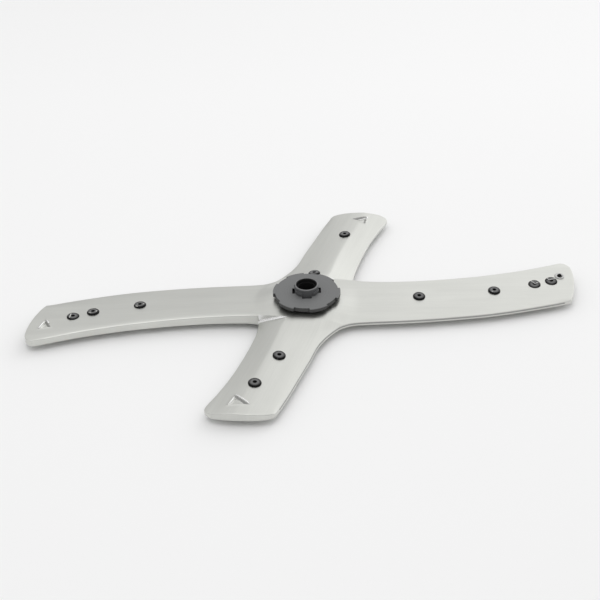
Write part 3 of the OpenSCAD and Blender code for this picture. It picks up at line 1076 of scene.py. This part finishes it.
def turning_group() -> bpy.types.ShaderNodeTree:
    """Faint rings round the hub axis, as a tool leaves in a mould."""
    group = new_group(
        "turning_marks",
        [("Pitch", "NodeSocketFloat", 900.0)],
        [("Rings", "NodeSocketFloat")],
    )
    w = Wiring(group)
    start, end = w.node("NodeGroupInput"), w.node("NodeGroupOutput")
    place = w.node("ShaderNodeTexCoord")
    split = w.node("ShaderNodeSeparateXYZ")
    w.join(place.outputs["Object"], split.inputs[0])
    flat = w.node("ShaderNodeCombineXYZ")
    w.join(split.outputs[0], flat.inputs[0])
    w.join(split.outputs[1], flat.inputs[1])
    length = w.node("ShaderNodeVectorMath", operation="LENGTH")
    w.join(flat.outputs[0], length.inputs[0])
    noise = w.node("ShaderNodeTexNoise", noise_dimensions="1D")
    noise.inputs["Detail"].default_value = 2.0
    noise.inputs["Scale"].default_value = 1.0
    w.join(w.maths("MULTIPLY", length.outputs["Value"], start.outputs["Pitch"]), noise.inputs["W"])
    w.join(noise.outputs[0], end.inputs["Rings"])
    return group


class Effects:
    """The shader groups that several materials share, each built once."""

    def __init__(self) -> None:
        """Builds every group."""
        self.grain = grain_group()
        self.moulding = moulding_group()
        self.turning = turning_group()


def principled(name: str) -> tuple[bpy.types.Material, Wiring, bpy.types.Node]:
    """A new material with its wiring and its main shader."""
    material = bpy.data.materials.new(name)
    material.use_nodes = True
    w = Wiring(material.node_tree)
    return material, w, material.node_tree.nodes["Principled BSDF"]


def tinted(
    w: Wiring, value: bpy.types.NodeSocket, dark: Sequence[float], light: Sequence[float]
) -> bpy.types.NodeSocket:
    """A colour between dark and light by a value."""
    blend = w.node("ShaderNodeMix", data_type="RGBA")
    blend.inputs[6].default_value = (*dark, 1.0)
    blend.inputs[7].default_value = (*light, 1.0)
    w.join(value, blend.inputs[0])
    return blend.outputs[2]


@dataclass(frozen=True)
class BrushedSheet:
    """Satin stainless sheet with streaks along X."""

    name: str = "brushed_sheet"
    colour: tuple[float, float, float] = (0.655, 0.66, 0.628)
    spread: float = 0.09
    roughness: float = 0.36
    roughness_spread: float = 0.08
    bump: float = 0.00002

    def material(self, effects: Effects) -> bpy.types.Material:
        """Builds the material.

        Args:
            effects: The shared shader groups.

        Returns:
            The finished material.
        """
        material, w, shader = principled(self.name)
        grain = w.node("ShaderNodeGroup", node_tree=effects.grain)
        mixed = w.maths("MULTIPLY", grain.outputs["Streak"], 0.6)
        mixed = w.maths("MULTIPLY_ADD", grain.outputs["Band"], 0.9, mixed)
        mixed = w.maths("MULTIPLY_ADD", grain.outputs["Cloud"], 0.5, mixed)
        mixed = w.maths("SUBTRACT", mixed, 0.5)
        dark = [c * (1 - self.spread) for c in self.colour]
        light = [min(1.0, c * (1 + self.spread)) for c in self.colour]
        w.join(tinted(w, mixed, dark, light), shader.inputs["Base Color"])
        rough = w.maths(
            "MULTIPLY_ADD",
            grain.outputs["Streak"],
            self.roughness_spread,
            self.roughness - self.roughness_spread / 2,
        )
        w.join(rough, shader.inputs["Roughness"])
        shader.inputs["Metallic"].default_value = 1.0
        bump = w.node("ShaderNodeBump")
        bump.inputs["Strength"].default_value = 0.35
        bump.inputs["Distance"].default_value = self.bump
        w.join(grain.outputs["Streak"], bump.inputs["Height"])
        w.join(bump.outputs[0], shader.inputs["Normal"])
        return material


@dataclass(frozen=True)
class MouldedPlastic:
    """Moulded plastic with a fine skin and, where wanted, turning marks."""

    name: str
    colour: tuple[float, float, float]
    roughness: float = 0.5
    spread: float = 0.1
    bump: float = 0.00004
    rings: float = 0.0
    gloss: float = 0.5

    def material(self, effects: Effects) -> bpy.types.Material:
        """Builds the material.

        Args:
            effects: The shared shader groups.

        Returns:
            The finished material.
        """
        material, w, shader = principled(self.name)
        skin = w.node("ShaderNodeGroup", node_tree=effects.moulding)
        height = skin.outputs["Grain"]
        tone = skin.outputs["Patches"]
        if self.rings:
            turning = w.node("ShaderNodeGroup", node_tree=effects.turning)
            height = w.maths("MULTIPLY_ADD", turning.outputs["Rings"], self.rings, height)
            tone = w.maths(
                "MULTIPLY_ADD",
                turning.outputs["Rings"],
                0.6,
                w.maths("MULTIPLY", tone, 0.4),
            )
        dark = [c * (1 - self.spread) for c in self.colour]
        light = [c * (1 + self.spread) for c in self.colour]
        w.join(tinted(w, tone, dark, light), shader.inputs["Base Color"])
        rough = w.maths("MULTIPLY_ADD", skin.outputs["Patches"], 0.12, self.roughness - 0.06)
        w.join(rough, shader.inputs["Roughness"])
        shader.inputs["Specular IOR Level"].default_value = self.gloss
        bump = w.node("ShaderNodeBump")
        bump.inputs["Strength"].default_value = 0.4
        bump.inputs["Distance"].default_value = self.bump
        w.join(height, bump.inputs["Height"])
        w.join(bump.outputs[0], shader.inputs["Normal"])
        return material


# -------------------------------------------------------------- small pieces
def dress(obj: bpy.types.Object, material: bpy.types.Material) -> None:
    """Gives an object one material."""
    if len(obj.data.materials):
        obj.data.materials.clear()
    obj.data.materials.append(material)


def smooth(obj: bpy.types.Object, crease_deg: float = 30.0) -> None:
    """Shades an object smoothly, with its sharp folds kept."""
    obj.data.shade_smooth()
    obj.data.set_sharp_from_angle(angle=math.radians(crease_deg))


Web = tuple[tuple[float, float], tuple[float, float]]


@dataclass(frozen=True)
class JetSpot:
    """Where a jet sits on its arm, and how its cap is cut."""

    name: str
    arm: Arm
    t: float
    s: float
    lean: tuple[float, float] = (0.0, 0.0)
    # Bright steel strips: webs across slanted jets, and painted glints on the edges of others.
    webs_and_glints: tuple[Web, ...] = ()


@dataclass
class SprayJets:
    """The plastic jets snapped into the upper sheet, and the steel eyelet."""

    spots: tuple[JetSpot, ...] = (
        JetSpot("jet_right_1", Arm.RIGHT, 0.405, 0.58),
        JetSpot(
            "jet_right_2", Arm.RIGHT, 0.69, 0.58, webs_and_glints=(((-2.7, -2.2), (-1.6, -3.0)),)
        ),
        JetSpot(
            "jet_right_3",
            Arm.RIGHT,
            0.842,
            0.62,
            (0.10, 0.16),
            (((-2.6, 3.2), (0.4, -0.5)), ((0.4, -0.5), (3.2, 0.9))),
        ),
        JetSpot(
            "jet_right_4",
            Arm.RIGHT,
            0.905,
            0.64,
            (0.08, 0.12),
            (((-3.6, 3.4), (-1.6, 0.4)), ((-1.6, 0.4), (3.4, 1.9))),
        ),
        JetSpot(
            "jet_left_1",
            Arm.LEFT,
            0.615,
            0.49,
            webs_and_glints=(((-3.2, -3.0), (-1.2, -3.9)), ((3.3, -0.8), (3.3, 0.8))),
        ),
        JetSpot(
            "jet_left_2",
            Arm.LEFT,
            0.777,
            0.545,
            webs_and_glints=(((-3.4, -2.2), (-1.2, -2.9)), ((2.6, -1.4), (3.2, 0.6))),
        ),
        JetSpot(
            "jet_left_3",
            Arm.LEFT,
            0.845,
            0.595,
            (-0.12, 0.05),
            (((-2.2, -3.6), (-1.9, 2.4)),),
        ),
        JetSpot("jet_back_1", Arm.BACK, 0.695, 0.83),
        JetSpot("jet_back_2", Arm.BACK, 0.14, 0.68),
        JetSpot("jet_front_1", Arm.FRONT, 0.478, 0.71),
        JetSpot("jet_front_2", Arm.FRONT, 0.74, 0.9),
    )
    eyelet: JetSpot = JetSpot("eyelet", Arm.RIGHT, 0.94, 0.73)
    cap_r: float = 0.00515
    cap_h: float = 0.0015
    wall: tuple[tuple[float, float], ...] = (
        (1.0, -0.08),
        (1.0, 0.30),
        (0.985, 0.42),
        (0.92, 0.66),
        (0.86, 0.90),
        (0.82, 0.94),
    )
    brow: tuple[tuple[float, float], ...] = (
        (0.82, 0.94),
        (0.78, 1.0),
        (0.72, 1.0),
        (0.66, 0.93),
        (0.62, 0.91),
    )
    face: tuple[tuple[float, float], ...] = (
        (0.62, 0.91),
        (0.56, 0.96),
        (0.48, 1.0),
        (0.38, 0.98),
        (0.32, 0.90),
    )
    bore: tuple[tuple[float, float], ...] = (
        (0.32, 0.90),
        (0.27, 0.72),
        (0.24, 0.12),
        (0.001, 0.1),
    )
    web_w: float = 0.0008
    web_h: float = 0.00035
    ring: tuple[tuple[float, float], ...] = (
        (4.2, -0.15),
        (4.2, 0.25),
        (4.12, 0.55),
        (3.85, 0.82),
        (3.4, 0.95),
        (2.9, 0.92),
        (2.4, 0.72),
        (2.1, 0.42),
        (2.0, 0.02),
    )
    hole_shade_r: float = 0.0016
    face_finish: MouldedPlastic = MouldedPlastic(
        "jet_face", (0.1, 0.1, 0.1), roughness=0.28, spread=0.3, gloss=0.7
    )
    brow_finish: MouldedPlastic = MouldedPlastic(
        "jet_brow", (0.035, 0.035, 0.035), roughness=0.3, spread=0.4, gloss=0.5
    )
    # Painted shade: near-black plastic on the jets' walls and bores, and on the dome in the eyelet's
    # hole.
    wall_shade_finish: MouldedPlastic = MouldedPlastic(
        "jet_wall", (0.006, 0.006, 0.006), roughness=0.34, gloss=0.12
    )
    web_and_glint_finish: BrushedSheet = BrushedSheet("web_steel", roughness=0.3)
    eyelet_finish: BrushedSheet = BrushedSheet(
        "eyelet_steel", (0.52, 0.52, 0.51), roughness=0.3
    )

    def stand(self, spot: JetSpot) -> Matrix:
        """The frame on the sheet under a jet: X to the right, Z square to it."""
        kind, half = spot.arm.value
        press = PRESSINGS[kind]
        width = press.shares.width - press.shares.band
        dt, ds = self.cap_r / press.shares.reach, self.cap_r / width
        t = np.array([spot.t, spot.t + dt, spot.t - dt, spot.t, spot.t])
        s = np.array([spot.s, spot.s, spot.s, spot.s + ds, spot.s - ds])
        p = press.surface(Shell.UPPER, t, np.minimum(s, 1.0), press.edge_r)
        p = turned_half(p, half)
        up = np.cross(p[1] - p[2], p[3] - p[4])
        up = Vector(up * np.sign(up[2])).normalized()
        right = (Vector((1, 0, 0)) - up * up.x).normalized()
        turn = Matrix((right, up.cross(right), up)).transposed().to_4x4()
        turn.translation = Vector(p[0])
        return turn

    def cap(self, spot: JetSpot) -> bpy.types.Object:
        """Draws one cap: its wall, its face and its bore; the wall and the bore take the near-black
        plastic as painted shade.
        """
        frame_here = self.stand(spot)
        skin = Skin()
        # The wall and the bore take material 1, the near-black plastic, as painted shade.
        parts = ((self.wall, 1), (self.brow, 2), (self.face, 0), (self.bore, 1))
        for part, tint in parts:
            profile = [(r * self.cap_r, z * self.cap_h) for r, z in part]
            skin.lathe(profile, Matrix.Identity(4), tint=tint)
        points = np.vstack(skin.points)
        low = np.clip(points[:, 2:] / self.cap_h - 0.2, 0.0, 1.0)
        drop = points[:, :2] @ np.array(spot.lean)[:, None] - np.hypot(*spot.lean) * self.cap_r * 0.8
        points[:, 2:] += drop * low
        turn, at = np.array(frame_here.to_3x3()), np.array(frame_here.translation)
        skin.points = [points @ turn.T + at]
        return skin.piece(spot.name + "_cap", 0.0, 50)

    def web(self, spot: JetSpot, number: int, line: Web) -> bpy.types.Object:
        """Draws a bright steel strip on a jet: partly a web across a slanted jet, partly a painted
        glint on the jet's edge.
        """
        start, end = (np.array([x, y]) / 1000 for x, y in line)
        ahead = unit(end - start)
        square = np.array([-ahead[1], ahead[0]])
        rows = []
        for f in np.linspace(0, 1, 9):
            at = mix(start, end, f)
            height = self.cap_h * 0.86 + float(at @ np.array(spot.lean)) * 0.6
            arch = self.web_h * math.sin(math.pi * min(max(f, 0.06), 0.94)) ** 0.4
            row = []
            for a in np.linspace(0, math.pi, 7):
                flat = at + square * math.cos(a) * self.web_w / 2
                row.append([*flat, height + arch * math.sin(a)])
            rows.append(row)
        frame_here = self.stand(spot)
        turn, where = np.array(frame_here.to_3x3()), np.array(frame_here.translation)
        skin = Skin()
        skin.add(np.array(rows) @ turn.T + where)
        return skin.piece(f"{spot.name}_web_{number}", 0.0, 60)

    def build(self, effects: Effects) -> None:
        """Draws and dresses the jets and the eyelet."""
        face, wall = (f.material(effects) for f in (self.face_finish, self.wall_shade_finish))
        brow = self.brow_finish.material(effects)
        steel = self.eyelet_finish.material(effects)
        bright = self.web_and_glint_finish.material(effects)
        for spot in self.spots:
            piece = self.cap(spot)
            for material in (face, wall, brow):
                piece.data.materials.append(material)
            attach(piece, "arm")
            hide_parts(spot.name)
            for number, line in enumerate(spot.webs_and_glints, 1):
                web = self.web(spot, number, line)
                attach(web, "arm")
                # The bright steel strips stand for webs and for painted glints.
                dress(web, bright if spot.arm is Arm.LEFT else steel)
            log.info("%s: cap drawn, %d webs", spot.name, len(spot.webs_and_glints))
        skin = Skin()
        skin.lathe([(r / 1000, z / 1000) for r, z in self.ring], self.stand(self.eyelet))
        ring = skin.piece("eyelet_ring", 0.0, 60)
        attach(ring, "arm")
        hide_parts("eyelet")
        dress(ring, steel)
        # Painted shade: a near-black dome sits in the eyelet's hole.
        skin = Skin()
        ball = [
            (self.hole_shade_r * math.cos(a), self.hole_shade_r * (0.55 + math.sin(a)))
            for a in np.linspace(-0.6, math.pi / 2 - 0.02, 12)
        ]
        floor = [(0.00198, 0.00003)]
        skin.lathe(floor + ball, self.stand(self.eyelet))
        hole_shade = skin.piece("eyelet_pin", 0.0, 60)
        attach(hole_shade, "arm")
        dress(hole_shade, wall)
        log.info("eyelet: ring and pin drawn")


class Faces:
    """The faces of one object, to give some of them another material."""

    def __init__(self, obj: bpy.types.Object) -> None:
        """Reads where the faces lie and which way they look.

        Args:
            obj: A dressed object.
        """
        self.mesh = obj.data
        turn = np.array(obj.matrix_world.to_3x3())
        at = np.array(obj.matrix_world.translation)
        self.normal = self.values("normal") @ turn.T
        self.centre = self.values("center") @ turn.T + at
        self.radius = np.linalg.norm(self.centre[:, :2], axis=1)

    def values(self, name: str) -> np.ndarray:
        """One vector of each face."""
        out = np.empty(len(self.mesh.polygons) * 3)
        self.mesh.polygons.foreach_get(name, out)
        return out.reshape(-1, 3)

    def paint(self, material: bpy.types.Material, which: np.ndarray) -> None:
        """Gives the chosen faces a material of their own.

        Args:
            material: The material.
            which: True for each face that gets it.
        """
        index = np.empty(len(self.mesh.polygons), dtype=np.int32)
        self.mesh.polygons.foreach_get("material_index", index)
        index[which] = len(self.mesh.materials)
        self.mesh.materials.append(material)
        self.mesh.polygons.foreach_set("material_index", index)


@dataclass
class Hub:
    """The lobed nut, the neck and the rings round it."""

    nut_finish: MouldedPlastic = MouldedPlastic(
        "nut_plastic", (0.155, 0.158, 0.158), roughness=0.55, rings=1.5
    )
    # Painted shade: a darker plastic for the nut's steep flanks.
    flank_shade_finish: MouldedPlastic = MouldedPlastic(
        "nut_flank", (0.06, 0.061, 0.061), roughness=0.6
    )
    # Painted shade: a near-black plastic for the nut's pockets and the inside of the neck.
    hollow_shade_finish: MouldedPlastic = MouldedPlastic(
        "hollow_plastic", (0.012, 0.012, 0.012), roughness=0.5, gloss=0.2
    )
    # Painted highlight: a paler plastic on the neck's mouth.
    mouth_highlight_finish: MouldedPlastic = MouldedPlastic(
        "neck_mouth", (0.17, 0.172, 0.172), roughness=0.45
    )
    neck_finish: MouldedPlastic = MouldedPlastic(
        "neck_plastic", (0.085, 0.087, 0.09), roughness=0.4, rings=1.0
    )
    nut_top: float = 0.0211
    pocket_r: float = 0.0165
    neck_top: float = 0.0276
    mouth_h: float = 0.0003
    bore_r: float = 0.0081
    bearing_finish: MouldedPlastic = MouldedPlastic(
        "bearing_plastic", (0.6, 0.6, 0.56), roughness=0.4, spread=0.04
    )

    def build(self, nodes: dict[str, bpy.types.Object], effects: Effects) -> None:
        """Dresses the solids of the hub."""
        nut = self.nut_finish.material(effects)
        neck = self.neck_finish.material(effects)
        bearing = self.bearing_finish.material(effects)
        for name, finish, slot in (
            ("lobed_nut", nut, "nut"),
            ("neck", neck, "neck"),
            ("retaining_ring", neck, "neck"),
            ("bearing_bush", bearing, "bearing"),
            ("thrust_washer", bearing, "bearing"),
        ):
            dress(nodes[name], finish)
            smooth(nodes[name])
            log.info("%s: dressed", name)
        self.paint_parts(nodes, effects)

    def paint_parts(
        self, nodes: dict[str, bpy.types.Object], effects: Effects
    ) -> None:
        """Painted shade on the nut's flanks, its pockets and the inside of the neck, and a painted
        highlight on the neck's mouth.
        """
        flank = self.flank_shade_finish.material(effects)
        hollow = self.hollow_shade_finish.material(effects)
        rim = self.mouth_highlight_finish.material(effects)
        nut = Faces(nodes["lobed_nut"])
        # Painted shade on the nut's steep flanks.
        nut.paint(flank, nut.normal[:, 2] < 0.3)
        low = nut.centre[:, 2] < self.nut_top - 0.0002
        # Painted shade in the nut's pockets.
        nut.paint(hollow, (nut.radius < self.pocket_r) & low)
        neck = Faces(nodes["neck"])
        high = neck.centre[:, 2] > self.neck_top - self.mouth_h
        away = (neck.centre[:, :2] * neck.normal[:, :2]).sum(axis=1)
        inward = away < -0.3 * neck.radius
        # Painted shade inside the neck and its bore.
        neck.paint(hollow, inward | (neck.radius < self.bore_r))
        # Painted highlight on the neck's mouth.
        neck.paint(rim, high & (neck.radius > self.bore_r) & ~inward)


# -------------------------------------------------------------------- studio
@dataclass
class Studio:
    """Pale floor, soft lamps, world and the camera at the photo's angle."""

    lens_mm: float = 65.13
    eye: tuple[float, float, float] = (-0.005707, -0.752401, 0.51307)
    right: tuple[float, float, float] = (0.99950907, -0.0173673, -0.0260768)
    down: tuple[float, float, float] = (-0.03133086, -0.55404718, -0.83189548)
    ahead: tuple[float, float, float] = (0.0, 0.83230409, -0.55431932)
    floor_half: float = 4.0
    floor_colour: tuple[float, float, float] = (0.94, 0.94, 0.94)
    # Painted shade: the floor's colour falls to this share towards the front.
    floor_front_shade: float = 0.93
    level: float = 0.55
    to_the_right: float = 0.66
    to_the_back: float = 0.15
    to_the_top: float = 0.42

    def camera(self) -> None:
        """Places the camera with a 36 mm sensor."""
        data = bpy.data.cameras.new("view")
        data.sensor_width = 36.0
        data.lens = self.lens_mm
        data.clip_start = 0.01
        obj = bpy.data.objects.new("view", data)
        right, down, ahead = (Vector(v) for v in (self.right, self.down, self.ahead))
        turn = Matrix((right, -down, -ahead)).transposed().to_4x4()
        turn.translation = Vector(self.eye)
        obj.matrix_world = turn
        bpy.context.scene.collection.objects.link(obj)
        bpy.context.scene.camera = obj

    def floor(self) -> None:
        """A plain matt floor under the part, with painted shade that darkens it towards the front.
        """
        h = self.floor_half
        mesh = bpy.data.meshes.new("floor")
        mesh.from_pydata(
            [(-h, -h, 0), (h, -h, 0), (h, h, 0), (-h, h, 0)], [], [(0, 1, 2, 3)]
        )
        obj = bpy.data.objects.new("floor", mesh)
        bpy.context.scene.collection.objects.link(obj)
        material, w, shader = principled("floor_paper")
        noise = w.node("ShaderNodeTexNoise")
        noise.inputs["Scale"].default_value = 3.0
        place = w.node("ShaderNodeTexCoord")
        split = w.node("ShaderNodeSeparateXYZ")
        w.join(place.outputs["Object"], split.inputs[0])
        # Painted shade: the floor gets darker towards the front.
        fall = w.maths("MULTIPLY_ADD", split.outputs[1], 1.0, 0.5)
        fall = w.maths("MULTIPLY_ADD", noise.outputs[0], 0.15, fall)
        fall = w.maths("MINIMUM", w.maths("MAXIMUM", fall, 0.0), 1.0)
        light = [min(1.0, c * 1.01) for c in self.floor_colour]
        dark = [c * self.floor_front_shade for c in self.floor_colour]
        w.join(tinted(w, fall, dark, light), shader.inputs["Base Color"])
        shader.inputs["Roughness"].default_value = 0.9
        shader.inputs["Specular IOR Level"].default_value = 0.1
        obj.data.materials.append(material)

    def lamp(
        self,
        name: str,
        at: Sequence[float],
        size: float,
        radiance: float,
        mirrored: bool,
    ) -> None:
        """A square soft lamp that faces the hub."""
        data = bpy.data.lights.new(name, "AREA")
        data.shape = "SQUARE"
        data.size = size
        data.energy = radiance * math.pi * size * size
        obj = bpy.data.objects.new(name, data)
        obj.location = at
        aim = Vector((0, 0, 0)) - Vector(at)
        obj.rotation_euler = aim.to_track_quat("-Z", "Y").to_euler()
        obj.visible_glossy = mirrored
        bpy.context.scene.collection.objects.link(obj)

    def world(self) -> None:
        """Soft light from all round, stronger to the right, back and top; camera rays see white."""
        world = bpy.data.worlds.new("soft_room")
        bpy.context.scene.world = world
        world.use_nodes = True
        w = Wiring(world.node_tree)
        back = world.node_tree.nodes["Background"]
        back.inputs["Color"].default_value = (1.0, 1.0, 1.0, 1.0)
        path = w.node("ShaderNodeLightPath")
        place = w.node("ShaderNodeTexCoord")
        split = w.node("ShaderNodeSeparateXYZ")
        w.join(place.outputs["Generated"], split.inputs[0])
        side = w.maths("MAXIMUM", split.outputs[0], -0.09)
        steep = w.maths("SUBTRACT", split.outputs[1], split.outputs[2])
        steep = w.maths("MAXIMUM", w.maths("MULTIPLY_ADD", steep, 2.6, 1.0), 0.0)
        side = w.maths("MULTIPLY", side, steep)
        level = w.maths("MULTIPLY_ADD", side, self.to_the_right, self.level)
        level = w.maths("MULTIPLY_ADD", split.outputs[1], self.to_the_back, level)
        level = w.maths("MULTIPLY_ADD", split.outputs[2], self.to_the_top, level)
        level = w.maths("MINIMUM", w.maths("MAXIMUM", level, 0.33), 1.35)
        seen = path.outputs["Is Camera Ray"]
        away = w.maths("SUBTRACT", 1.0, seen)
        strength = w.maths("MULTIPLY_ADD", level, away, seen)
        w.join(strength, back.inputs["Strength"])

    def build(self) -> None:
        """Sets the stage, the light and the camera."""
        self.camera()
        self.floor()
        self.lamp("key_back_right", (0.95, 0.85, 1.15), 0.9, 0.75, mirrored=False)
        self.lamp("top_front", (-0.15, -0.5, 1.5), 0.8, 1.4, mirrored=True)
        self.world()
        view = bpy.context.scene.view_settings
        view.view_transform = "Standard"


def main() -> None:
    """Builds every sub-assembly in order."""
    logging.basicConfig(level=logging.INFO, format="%(name)s: %(message)s")
    effects = Effects()
    Studio().build()
    shells = PressedShells().build()
    steel = BrushedSheet().material(effects)
    # Painted highlight: a near-white steel for the valley beads, the dimples' edges and the first
    # row of the long arms' bands.
    bright = BrushedSheet("folded_steel", (0.93, 0.93, 0.92), roughness=0.27)
    # Painted shade: a dark steel for the upper sheet's edge wall along the hem and for the dimples'
    # walls.
    shaded = BrushedSheet("seam_steel", (0.36, 0.36, 0.35), roughness=0.42)
    painted_highlight, seam = bright.material(effects), shaded.material(effects)
    for name, piece in shells.items():
        dress(piece, painted_highlight if name.startswith("valley") else steel)
        if name == "upper_shell":
            piece.data.materials.append(painted_highlight)
            piece.data.materials.append(seam)
        log.info("%s: %d faces", name, len(piece.data.polygons))
    SprayJets().build(effects)
    Hub().build(frame["nodes"], effects)


if __name__ == "__main__":
    main()
